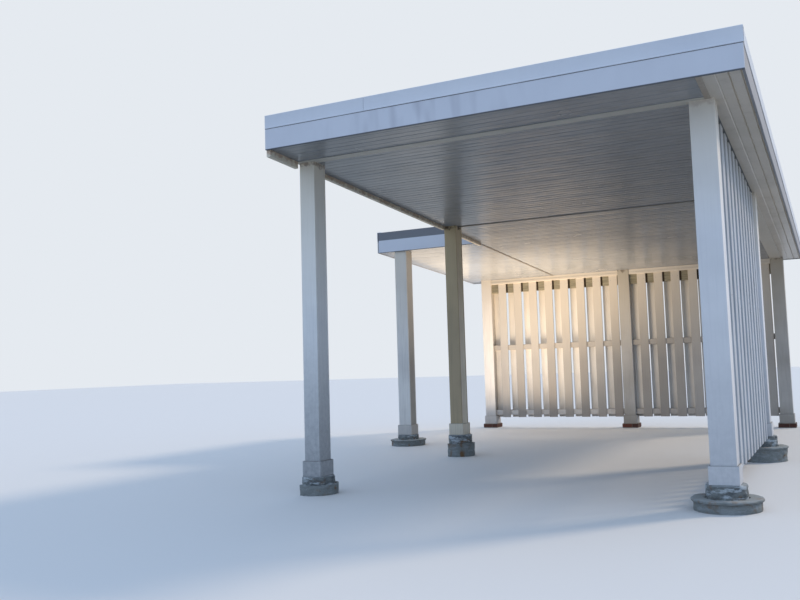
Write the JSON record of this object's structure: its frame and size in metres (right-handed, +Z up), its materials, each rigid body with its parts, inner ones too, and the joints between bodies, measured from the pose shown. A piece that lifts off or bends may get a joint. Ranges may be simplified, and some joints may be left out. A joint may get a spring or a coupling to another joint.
{
  "type": "carport",
  "caption": "Open carport with a low-pitched flat roof on boxed timber posts, board screens at the side and back, and a wider bay at the rear.",
  "frame": {"origin": "On the ground, under the middle of the roof's outer box.", "axes": "+X runs along the front fascia from the wall side to the open side, +Y runs from the front to the back, +Z is up."},
  "size_m": [5.581, 8.34, 3.3363],
  "materials": {
    "painted_timber_post": "painted",
    "weathered_concrete": "rough",
    "fired_brick": "rough",
    "painted_fascia": "painted",
    "coated_edge_metal": "satin",
    "framing_timber": "sawn",
    "roof_deck": "mineral-surfaced roofing",
    "painted_soffit": "coil coated",
    "gloss_ceiling_panel": "gloss coil coated",
    "weathered_trim": "weathered",
    "painted_trim": "painted",
    "painted_screen_board": "painted"
  },
  "bodies": {
    "root": {"beam_front": "framing_timber", "beam_mid": "framing_timber", "beam_rear": "framing_timber", "brick_base_rear_left": "fired_brick", "brick_base_rear_mid": "fired_brick", "brick_base_rear_right": "fired_brick", "ceiling_extension": "gloss_ceiling_panel", "ceiling_front": "gloss_ceiling_panel", "ceiling_rear": "gloss_ceiling_panel", "deck_extension": "roof_deck", "deck_main": "roof_deck", "extension_ledger": "painted_fascia", "fascia_front": "painted_fascia", "fascia_left": "painted_fascia", "fascia_rear": "painted_fascia", "fascia_right": "painted_fascia", "pier_extension": "weathered_concrete", "pier_front_left": "weathered_concrete", "pier_front_right": "weathered_concrete", "pier_mid_left": "weathered_concrete", "pier_mid_right": "weathered_concrete", "post_extension": "painted_timber_post", "post_front_left": "painted_timber_post", "post_front_right": "painted_timber_post", "post_mid_left": "painted_timber_post", "post_mid_right": "painted_timber_post", "post_rear_left": "painted_timber_post", "post_rear_mid": "painted_timber_post", "post_rear_right": "painted_timber_post", "roof_edge_front": "coated_edge_metal", "roof_edge_left": "coated_edge_metal", "roof_edge_rear": "coated_edge_metal", "roof_edge_right": "coated_edge_metal", "screen_rear_left": "painted_screen_board", "screen_rear_right": "painted_screen_board", "screen_side": "painted_screen_board", "soffit_front": "painted_soffit", "soffit_right": "painted_soffit", "trim_corner": "painted_trim", "trim_front": "painted_trim", "trim_mid": "painted_trim", "trim_right_beam": "painted_trim", "trim_seam": "painted_trim", "trim_wall": "weathered_trim", "wall_ledger": "framing_timber"}
  },
  "joints": []
}
